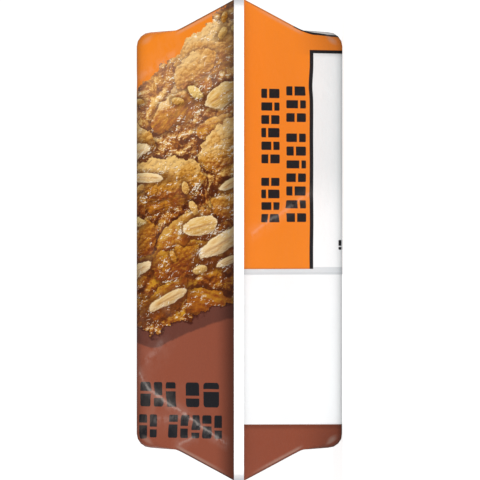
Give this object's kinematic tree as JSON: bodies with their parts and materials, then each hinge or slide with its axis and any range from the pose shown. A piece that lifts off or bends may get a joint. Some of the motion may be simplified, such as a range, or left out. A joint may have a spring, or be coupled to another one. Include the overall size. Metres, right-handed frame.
{
  "type": "wrapped granola bar",
  "caption": "Flow-wrapped granola bar lying on its back: printed film pack with a crimped, zigzag-cut seal at each end, tucked sides and a flat fin seal.",
  "frame": {"origin": "middle of the pack's footprint, on the surface that it lies on", "axes": "+X along the bar, to the end seal that the picture shows; +Y to the upper long edge of the front panel; +Z out of the front panel"},
  "size_m": [0.15, 0.049, 0.021],
  "materials": {
    "printed_film": "satin printed film"
  },
  "bodies": {
    "root": {"wrapper": "printed_film"}
  },
  "joints": []
}
